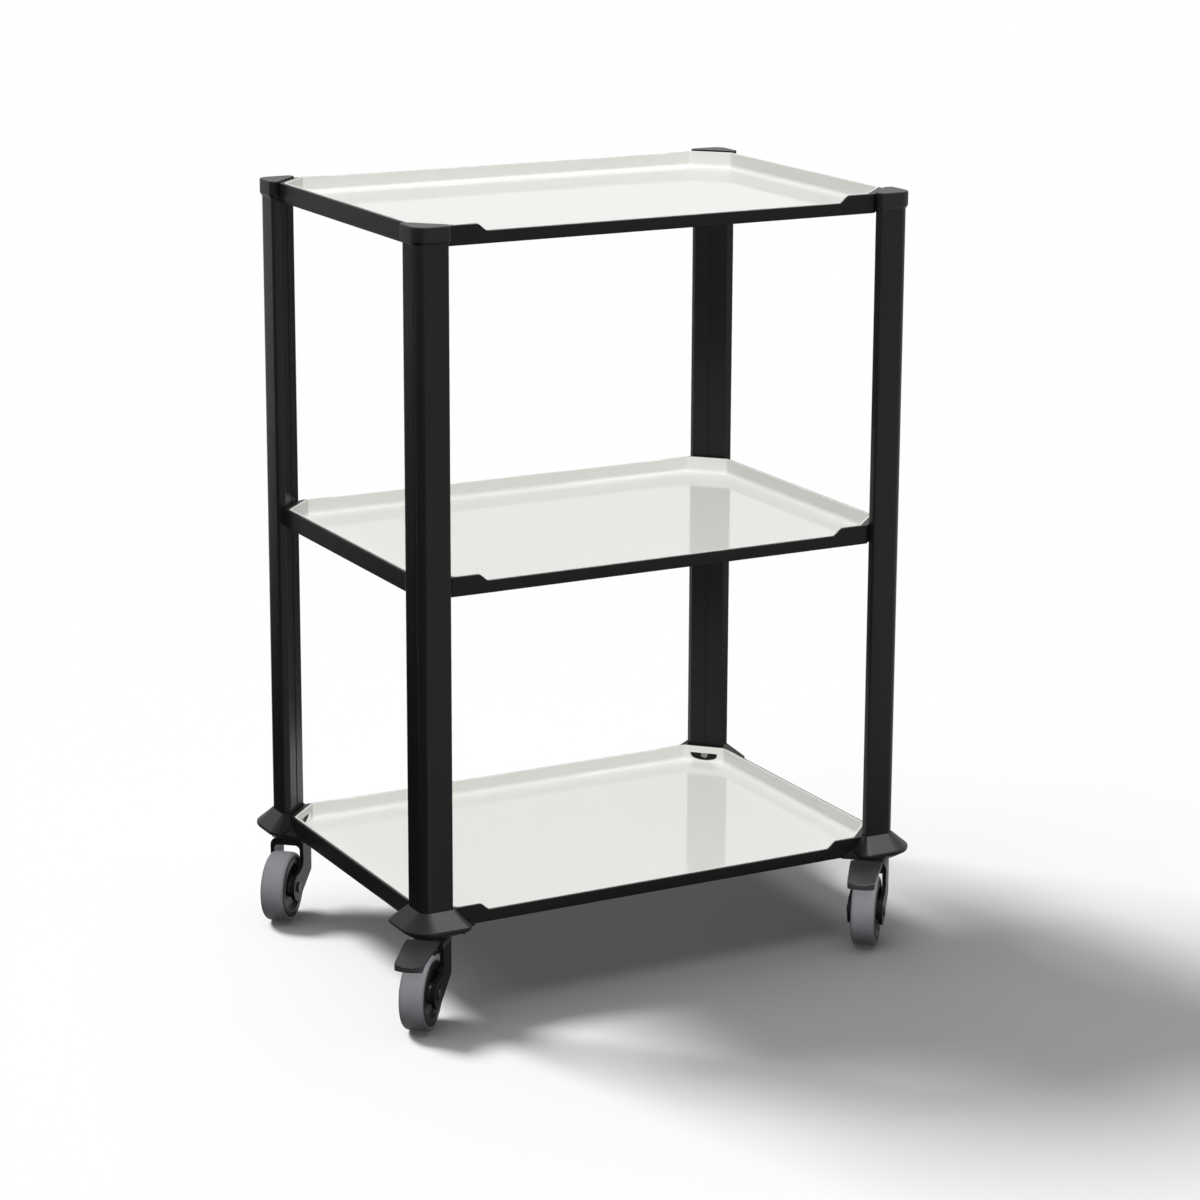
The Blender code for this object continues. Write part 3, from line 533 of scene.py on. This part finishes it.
for tier, lift in tierHeights.items():
    rimMesh = makeMesh("shelfRim", [skin(shelfRings(frameRows(), lift), joinRows=True)])
    trayMesh = makeMesh("shelfTray", [skin(shelfRings(trayRows(), lift))])
    if tier == "lower":   # only here do windows show the rim's corners and the screws
        face = innerFace + 2 * shelf["fit"] + shelf["cornerWall"]
        near, far = face - 2 * shelf["fit"], face + tray["wall"] + tray["cove"] * tray["windowReach"]
        trayMesh = carve(trayMesh, [diagonalCutter(c, windowOutline(), near, far, lift) for c in corners])
        near = face - shelf["fit"] - shelf["seatInset"]
        seats = [diagonalCutter(c, seatOutline(), near, near + shelf["seatCut"], lift) for c in corners]
        rimMesh = carve(rimMesh, seats)
    keepFlat(finishPiece("shelfRim_" + tier, rimMesh, "rim", "trolley", "shelf_frame_" + tier))
    keepFlat(finishPiece("shelfTray_" + tier, trayMesh, "tray", "trolley", "tray_" + tier))
print("made the shelf rims and trays")


cap = {
    "top": 0.0210, "height": 0.0195, "overhang": 0.0025, "taper": 0.0040, "rounding": 0.0014, "crown": 0.0028,
    "topMargin": 0.0015, "taperShape": [(0.85, 0.8), (1.0, 1.1)],   # shares of the overhang and of the taper
}
casting = {
    "rise": 0.0215, "flare": 0.0198, "endFlare": 0.0150, "endBend": 0.0100, "level": 0.0055, "lip": 0.0022,
    "undercut": 0.0140, "top": -0.0020, "bottom": -0.0064, "bottomEdge": 0.0015, "reach": 0.0100,
    # up the lip: height above its level and inset, both in lips, and the share of the end's bend
    "lipShape": [(-2.0, 0.5, 1.0), (-1.4, 0.18, 1.0), (-1.0, 0.0, 1.0), (-0.25, 0.0, 1.0), (0.1, 0.12, 1.0),
                 (0.4, 0.40, 0.97)],
    "wingRoot": 0.0040, "wingLength": 0.0280, "wingRise": 0.0100, "wingTip": 0.0022, "wingSpread": 0.8,
}
thinEdge = 0.0002


def sectionPolygon(offset, end, inner):
    # the column's five corners: the outer faces moved in by `offset`, the ends by `end`, and the slanted face
    # by `inner`
    outer, tip = -column["half"] + offset, column["half"] - end
    line = column["shoulder"] - 2 ** 0.5 * inner
    return [(outer, outer), (tip, outer), (tip, line - tip), (line - tip, tip), (outer, tip)]


def sectionOutline(offset, end, inner, endBend):
    # that section with each corner rounded
    outerBend, bend = max(column["corner"] - offset, column["leastCorner"]), column["bend"]
    radii = [outerBend, endBend, bend, bend, endBend]
    return roundCorners(sectionPolygon(offset, end, inner), radii, steps["columnBend"])


def groovedOutline(offset, depth):
    # the column's section with a groove of that depth down the middle of its slanted face
    corner, tipA, bendA, bendB, tipB = sectionPolygon(offset, offset, offset)
    facing = (np.array(bendA) + bendB) / 2
    along, inward = np.array([-diagonal, diagonal]), np.array([-diagonal, -diagonal])
    side = along * column["grooveWidth"] / 2
    groove = [facing - side, facing - side + inward * depth, facing + side + inward * depth, facing + side]
    tip = max(column["edge"] - offset, column["leastEdge"])
    radii = [max(column["corner"] - offset, column["leastCorner"]), tip, column["bend"]]
    radii += [column["grooveBend"]] * len(groove) + [column["bend"], tip]
    return roundCorners([corner, tipA, bendA, *groove, bendB, tipB], radii, steps["columnBend"])


def columnPart():
    # the section carried from the casting up to the cap, outside and inside, closed at both ends
    bottom = tierHeights["lower"] + casting["top"] + shelf["fit"]
    top = tierHeights["upper"] + cap["top"] - cap["crown"] - shelf["fit"]
    outside = groovedOutline(0.0, column["grooveDepth"])
    inside = groovedOutline(column["wall"], column["grooveInside"])
    rings = [atHeight(outside, bottom), atHeight(outside, top)]
    rings += [atHeight(inside, top), atHeight(inside, bottom)]
    return skin(rings, joinRows=True)


def wallRings(rows, endAt):
    # a C-shaped wall round the column's two outer faces, one ring to each row of (offset, end offset, end bend,
    # height). Its ends stop where endAt says, and its inner side stays the fit's width off the column
    inner = sectionPolygon(-shelf["fit"], -shelf["fit"], 0.0)
    near, nearEnd = inner[1][0], endAt(inner[1][0])
    rings = []
    for offset, end, bend, height in rows:
        outer = sectionPolygon(offset, end, 0.0)
        far, farEnd = outer[1][0], endAt(outer[1][0])
        path = [outer[0], outer[1], (far, farEnd), (near, nearEnd), inner[1],
                inner[0], inner[4], (nearEnd, near), (farEnd, far), outer[4]]
        radii = [column["corner"] - offset, bend, thinEdge, thinEdge, column["edge"],
                 column["corner"], column["edge"], thinEdge, thinEdge, bend]
        rings.append(atHeight(roundCorners(path, radii, steps["wallBend"]), height))
    return rings


def capParts():
    # walls with a tapered lower edge, and a crown whose upper edge is a quarter circle
    low, high, over = cap["top"] - cap["height"], cap["top"], cap["overhang"]
    start = 2 * shelf["fit"]
    walls = [(-start, low + cap["taper"] * start / over)]
    walls += [(-over * out, low + cap["taper"] * up) for out, up in cap["taperShape"]]
    walls += [(-over, high - cap["crown"])]
    walls = [(o, o, column["edge"] - o, height) for o, height in walls]
    crown = [(-over, high - cap["crown"])]
    crown += [(-over + i, high - down) for i, down in quarter(cap["rounding"], steps["crown"], "upright")]
    crown += [(-over + cap["rounding"] + cap["topMargin"], high)]
    crown = [atHeight(sectionOutline(o, o, 0.0, column["edge"] - o), height) for o, height in crown]
    return [skin(wallRings(walls, lambda tip: column["shoulder"] - tip)), skin(crown)]


def castingParts():
    # the skirt's outline at each height: undercut below, a rounded lip, then a straight slope up to the column.
    # Under it is a plate, and beside it are two wings that narrow along the shelf's rim
    lip, level, flare, ends = casting["lip"], casting["level"], casting["flare"], casting["endFlare"]
    up, inset, bendShare = np.array(casting["lipShape"]).T
    slope = np.linspace(level + lip * up[-1], casting["rise"], steps["slope"] + 1)[1:]
    share = (slope - level) / (casting["rise"] - level)
    heights = np.r_[casting["bottom"], level + lip * up, slope]
    moved = np.r_[casting["undercut"], lip * inset]
    offset = np.r_[-flare + moved, -flare + share * (flare - shelf["edge"])]
    end = np.r_[-ends + moved, -ends + share * (ends - shelf["edge"])]
    bends = casting["endBend"] * np.r_[1.0, bendShare]
    bends = np.r_[bends, casting["endBend"] + share * (column["edge"] - casting["endBend"])]

    def row(height):
        return [np.interp(height, heights, values) for values in (offset, end, bends)]

    plate = []
    for height in (casting["bottom"], casting["bottom"] + casting["bottomEdge"], casting["top"]):
        out, tipOut, bend = row(height)
        plate.append(atHeight(sectionOutline(out, tipOut, -casting["reach"], bend), height))
    skirt = [(*row(height), height) for height in (casting["top"], *heights[heights > casting["top"]])]
    atRim = -column["half"] + column["proud"] - shelf["fit"]

    # each ring of a wing is six points of (along, across, up), which go evenly from the root's to the tip's
    root, tip = column["half"] + casting["wingRoot"], column["half"] + casting["wingLength"]
    outer = -column["half"] - casting["wingSpread"] * flare
    tipOuter = atRim + shelf["fit"] - casting["wingTip"] / 2
    inner = atRim + shelf["fit"] + casting["wingTip"]
    low, top, tipTop = casting["bottom"], casting["top"], casting["top"] + casting["wingTip"]
    first = np.array([(root, outer, low + lip * 2), (root, outer, level), (root, atRim, casting["wingRise"]),
                      (root, atRim, top), (root, inner, top), (root, inner, low + shelf["fit"])])
    last = np.array([(tip, tipOuter, top), (tip, tipOuter, tipTop), (tip, atRim, tipTop),
                     (tip, atRim, top), (tip, inner, top), (tip, inner, top - shelf["fit"])])
    wing = first + (last - first) * np.linspace(0, 1, steps["wing"] + 1)[:, None, None]
    mirrored = wing[:, ::-1][:, :, [1, 0, 2]]   # the other wing, with x and y swapped
    return [skin(plate), skin(wallRings(skirt, lambda tip: atRim)), skin(wing), skin(mirrored)]


columnShape, capShape, castingShape = columnPart(), capParts(), castingParts()
for corner in corners:
    placedCap = [toCorner(part, corner, tierHeights["upper"]) for part in capShape]
    placedCasting = [toCorner(part, corner, tierHeights["lower"]) for part in castingShape]
    placedColumn = [toCorner(columnShape, corner)]
    makePiece("cornerColumn_" + corner, placedColumn, "column", "trolley", "column_" + corner)
    makePiece("columnCap_" + corner, placedCap, "fitting", "trolley", "column_cap_" + corner)
    makePiece("footCasting_" + corner, placedCasting, "fitting", "trolley", "base_casting_" + corner)
print("made the columns, caps and castings")


wheel = {
    "radius": 0.0400, "treadWidth": 0.0270, "tyre": 0.0045, "shoulder": 0.0050, "drop": 0.0035,
    "treadInset": 0.00006,   # the CAD's flat facets touch the floor, and the round tyre stays inside them
    "width": 0.0284, "hubHalf": 0.01495, "hubRadius": 0.0110, "hubSlope": 0.0010, "dish": 0.0040,
    "band": 0.0075, "bandSlope": 0.0015, "rounds": [0.0003, 0.0006, 0.0012, 0.0016, 0.0007, 0.0006],
    "axle": 0.0040, "head": 0.0060, "headHeight": 0.0016, "headEdge": 0.0012, "headMargin": 0.0030,
    "forkOutside": 0.0199, "trail": 0.0382,
}
# widths and the merge distance in metres, angles in degrees
softEdges = {"castorFork": 0.0007, "brakePedal": 0.0008, "merge": 2e-6, "flat": 0.5, "rounded": 38, "sharp": 40}


def onAxle(rings, corner):
    # from axes with +Y along the axle to the wheel's place: x runs along the trail, z up
    angle = np.radians(trailDirections[corner])
    trail = np.array([np.cos(angle), np.sin(angle), 0])
    across = np.array([-np.sin(angle), np.cos(angle), 0])
    hub = np.array([*cornerSpot(corner), wheel["radius"]]) + trail * wheel["trail"]
    return hub + rings[..., :1] * trail + rings[..., 1:2] * across + rings[..., 2:] * np.array([0, 0, 1])


def tyreProfile():
    # flat tread, a quarter of an ellipse at each shoulder, and a straight inside
    half, inside = wheel["treadWidth"] / 2, wheel["radius"] - wheel["tyre"]
    outside = wheel["radius"] - wheel["treadInset"]
    turn = np.linspace(0, np.pi / 2, steps["shoulder"] + 1)
    side = np.c_[outside - wheel["drop"] * (1 - np.sin(turn)), half - wheel["shoulder"] * (1 - np.cos(turn))]
    return np.r_[[(inside, -half), (inside, half)], side, side[::-1] * [1, -1]]


def coreProfile():
    # hub, dished web and the raised band that the tyre sits on, each corner softened
    half, web, hub = wheel["width"] / 2, wheel["width"] / 2 - wheel["dish"], wheel["hubHalf"]
    bore, outside = wheel["axle"] + shelf["fit"], wheel["radius"] - wheel["tyre"] - shelf["fit"]
    radius, slope, band = wheel["hubRadius"], wheel["hubSlope"], outside - wheel["band"]
    side = np.array([(bore, hub), (radius - slope, hub), (radius + slope, web),
                     (band - wheel["bandSlope"], web), (band, half), (outside, half)])
    radii = wheel["rounds"] + wheel["rounds"][::-1]
    return roundCorners(np.r_[side, side[::-1] * [1, -1]], radii, steps["coreBend"])


def boltProfile():
    # a shank between two heads with rounded rims
    seat, r = wheel["forkOutside"] + shelf["fit"], wheel["head"]
    end = seat + wheel["headHeight"]
    dome = [(r - i, end - down) for i, down in quarter(wheel["headEdge"], steps["dome"], "level")]
    side = np.r_[[(r - wheel["headMargin"], end)], dome, [(r, seat), (wheel["axle"], seat)]]
    return np.r_[side, side[::-1] * [1, -1]]


def softened(name, node, slot, body, width):
    # the node's loose triangles joined up, flat areas made whole, and its edges given a small round
    mesh = frame["nodes"][node].data.copy()
    work = bmesh.new()
    work.from_mesh(mesh)
    bmesh.ops.remove_doubles(work, verts=work.verts, dist=softEdges["merge"])
    flat = np.radians(softEdges["flat"])
    bmesh.ops.dissolve_limit(work, angle_limit=flat, verts=work.verts, edges=work.edges)
    work.to_mesh(mesh)
    work.free()
    piece = finishPiece(name, mesh, slot, body, node, softEdges["sharp"])
    edges = piece.modifiers.new("soft edges", "BEVEL")
    edges.width, edges.segments, edges.use_clamp_overlap = width, 2, True
    edges.limit_method, edges.angle_limit = "ANGLE", np.radians(softEdges["rounded"])
    keepFlat(piece)


tyre, core = lathe(tyreProfile(), steps["turn"]), lathe(coreProfile(), steps["turn"])
bolt = lathe(boltProfile(), steps["boltTurn"])
for corner in corners:
    carrier, roller = "castor_" + corner, "wheel_" + corner
    placedTyre, placedCore = (skin(onAxle(rings, corner), joinRows=True) for rings in (tyre, core))
    makePiece("wheelTyre_" + corner, [placedTyre], "tread", roller, "tyre_" + corner)
    makePiece("wheelCentre_" + corner, [placedCore], "wheel_core", roller, "wheel_core_" + corner)
    makePiece("axleBolt_" + corner, [skin(onAxle(bolt, corner))], "axle", carrier, "axle_" + corner)
    softened("castorFork_shaped_" + corner, "castor_fork_" + corner, "fork", carrier, softEdges["castorFork"])
    if corner in braked:
        softened("brakePedal_shaped_" + corner, "brake_pedal_" + corner, "pedal", "pedal_" + corner,
                 softEdges["brakePedal"])
print("made the castors")

# nodes that are right as they are get only a finish
keptNodes = {"shelf_screw": "steel", "castor_stem": "steel", "brake_shoe": "shoe", "pedal_pin": "axle"}
for name, node in frame["nodes"].items():
    for start, slot in keptNodes.items():
        if name.startswith(start):
            node.data.materials.clear()
            node.data.materials.append(finishes[slot])


studio = {
    "ambient": 0.09, "floorColour": 0.80, "floorGlow": 0.022, "floorHalf": 30,
    # each floor light: strength, softness in degrees, aim
    "floorLights": {"crisp": (3.32, 18, (0.40, -0.74, -1.0)), "broad": (1.10, 80, (0.30, -0.30, -1.0))},
    "overhead": {"strength": 2.8, "size": 1.0, "at": (0.0, 0.0, 2.4), "aimedAt": (0, 0, 0)},
    "softbox": {"strength": 75, "size": 1.6, "at": (1.2, -0.6, 3.0), "aimedAt": (0, 0, 0.4)},
    "fills": {"front": (2.85, (0.35, 0.55, -1.0)), "back": (1.3, (-0.50, -0.85, -0.20))}, "fillSoftness": 40,
    # outlines of the dark cards, which lie just above the floor
    "cards": {"left": [(-0.33, -0.6), (-0.33, 0.9), (-9.0, 18.5), (-9.0, 8.0)],
              "corner": [(-0.40, -0.30), (-4.5, 2.0), (-6.0, -2.0), (-3.5, -5.0), (-0.55, -5.2)],
              "right": [(0.35, 0.40), (14.0, 4.5), (14.0, 11.5), (0.35, 1.0)]},
    "cardHeight": 0.001, "cardColour": 0.02,
}
view = {
    "sensor": 36, "lens": 103.18, "shift": -0.0833, "clipEnd": 80, "eye": (-1.7494, -3.3313, 1.3846),
    "right": (0.88294, -0.46948, 0.00366), "up": (0.10447, 0.20407, 0.97337),
    "back": (-0.45772, -0.85904, 0.22923),
}


def seenDirectly(tree):
    # 1 where the camera, a reflection or a clear material looks, and 0 for light on surfaces
    path = addNode(tree, "LightPath")
    seen = addMath(tree, "MAXIMUM", path.outputs["Is Camera Ray"], path.outputs["Is Glossy Ray"])
    return addMath(tree, "MAXIMUM", seen, path.outputs["Is Transmission Ray"])


def makeWorld():
    # plain white where it is seen, and much weaker as light
    world = bpy.data.worlds.new("studio")
    world.use_nodes = True
    tree = world.node_tree
    back = tree.nodes["Background"]
    back.inputs["Color"].default_value = (1, 1, 1, 1)
    rest = addMath(tree, "MULTIPLY", seenDirectly(tree), 1.0 - studio["ambient"])
    tree.links.new(addMath(tree, "ADD", rest, studio["ambient"]), back.inputs["Strength"])
    bpy.context.scene.world = world


def addSheet(name, outline, height, material):
    mesh = bpy.data.meshes.new(name)
    mesh.from_pydata([(x, y, height) for x, y in outline], [], [range(len(outline))])
    mesh.materials.append(material)
    sheet = bpy.data.objects.new(name, mesh)
    bpy.context.scene.collection.objects.link(sheet)
    return sheet


def makeFloor():
    # pale, without gloss, so that it doesn't show the dark cards above it, and clear for a view from below
    pale = bpy.data.materials.new("paleFloor")
    pale.use_nodes = True
    tree = pale.node_tree
    shader = tree.nodes["Principled BSDF"]
    shader.inputs["Base Color"].default_value = (studio["floorColour"],) * 3 + (1,)
    shader.inputs["Specular IOR Level"].default_value = 0
    shader.inputs["Emission Color"].default_value = (1, 1, 1, 1)
    glow = addMath(tree, "MULTIPLY", seenDirectly(tree), studio["floorGlow"])
    tree.links.new(glow, shader.inputs["Emission Strength"])
    clear, sides = addNode(tree, "BsdfTransparent"), addNode(tree, "MixShader")
    tree.links.new(addNode(tree, "NewGeometry").outputs["Backfacing"], sides.inputs[0])
    tree.links.new(shader.outputs[0], sides.inputs[1])
    tree.links.new(clear.outputs[0], sides.inputs[2])
    tree.links.new(sides.outputs[0], tree.nodes["Material Output"].inputs["Surface"])
    half = studio["floorHalf"]
    floor = addSheet("floor", [(-half, -half), (half, -half), (half, half), (-half, half)], 0, pale)
    floor.visible_diffuse = False   # no light comes back up from it, so the wheels and forks darken downwards
    return floor


def makeCards():
    # dark shapes for the glossy trays and columns to reflect, which nothing else sees
    dark = bpy.data.materials.new("darkCard")
    dark.use_nodes = True
    shader = dark.node_tree.nodes["Principled BSDF"]
    shader.inputs["Base Color"].default_value = (studio["cardColour"],) * 3 + (1,)
    shader.inputs["Specular IOR Level"].default_value = 0
    for side, outline in studio["cards"].items():
        card = addSheet("darkCard_" + side, outline, studio["cardHeight"], dark)
        card.visible_camera = card.visible_diffuse = card.visible_shadow = card.visible_transmission = False


def addLamp(name, kind, strength, aim, at=(0, 0, 3), **settings):
    lamp = bpy.data.lights.new(name, kind)
    lamp.energy = strength
    for key, value in settings.items():
        setattr(lamp, key, value)
    holder = bpy.data.objects.new(name, lamp)
    holder.location = at
    holder.rotation_euler = Vector(aim).to_track_quat("-Z", "Y").to_euler()
    bpy.context.scene.collection.objects.link(holder)
    return holder


def addPanel(name):
    # a square lamp above the trolley, from its row in the studio's dictionary
    row = studio[name]
    aim = Vector(row["aimedAt"]) - Vector(row["at"])
    return addLamp(name, "AREA", row["strength"], aim, row["at"], shape="SQUARE", size=row["size"])


makeWorld()
trolleyOnly, floorOnly = bpy.data.collections.new("trolleyOnly"), bpy.data.collections.new("floorOnly")
for piece in bpy.context.scene.objects:
    if piece.type == "MESH":
        trolleyOnly.objects.link(piece)
floorOnly.objects.link(makeFloor())
makeCards()
softbox, overhead = addPanel("softbox"), addPanel("overhead")
softness = np.radians(studio["fillSoftness"])
fills = [addLamp("fill_" + side, "SUN", strength, aim, angle=softness, use_shadow=False)
         for side, (strength, aim) in studio["fills"].items()]
softbox.visible_diffuse = False   # it only gives highlights, and the others give none
for lamp in (overhead, *fills):
    lamp.visible_glossy = False
for lamp in (softbox, overhead, *fills):
    lamp.light_linking.receiver_collection = trolleyOnly
for kind, (strength, softness, aim) in studio["floorLights"].items():   # they only make the floor's shadow
    sun = addLamp("floorLight_" + kind, "SUN", strength, aim, angle=np.radians(softness))
    sun.light_linking.receiver_collection = floorOnly

# the camera stands where the photograph's did; its axes are the columns of its matrix
lens = bpy.data.cameras.new("camera")
lens.sensor_width, lens.lens = view["sensor"], view["lens"]
lens.shift_y, lens.clip_end = view["shift"], view["clipEnd"]
camera = bpy.data.objects.new("camera", lens)
eye = Vector(view["eye"]) + Vector((*middle, 0))
axes = Matrix([view["right"], view["up"], view["back"]]).transposed()
camera.matrix_world = Matrix.Translation(eye) @ axes.to_4x4()
bpy.context.scene.collection.objects.link(camera)
bpy.context.scene.camera = camera
bpy.context.scene.view_settings.view_transform = "Standard"
print("set the floor, light and camera")
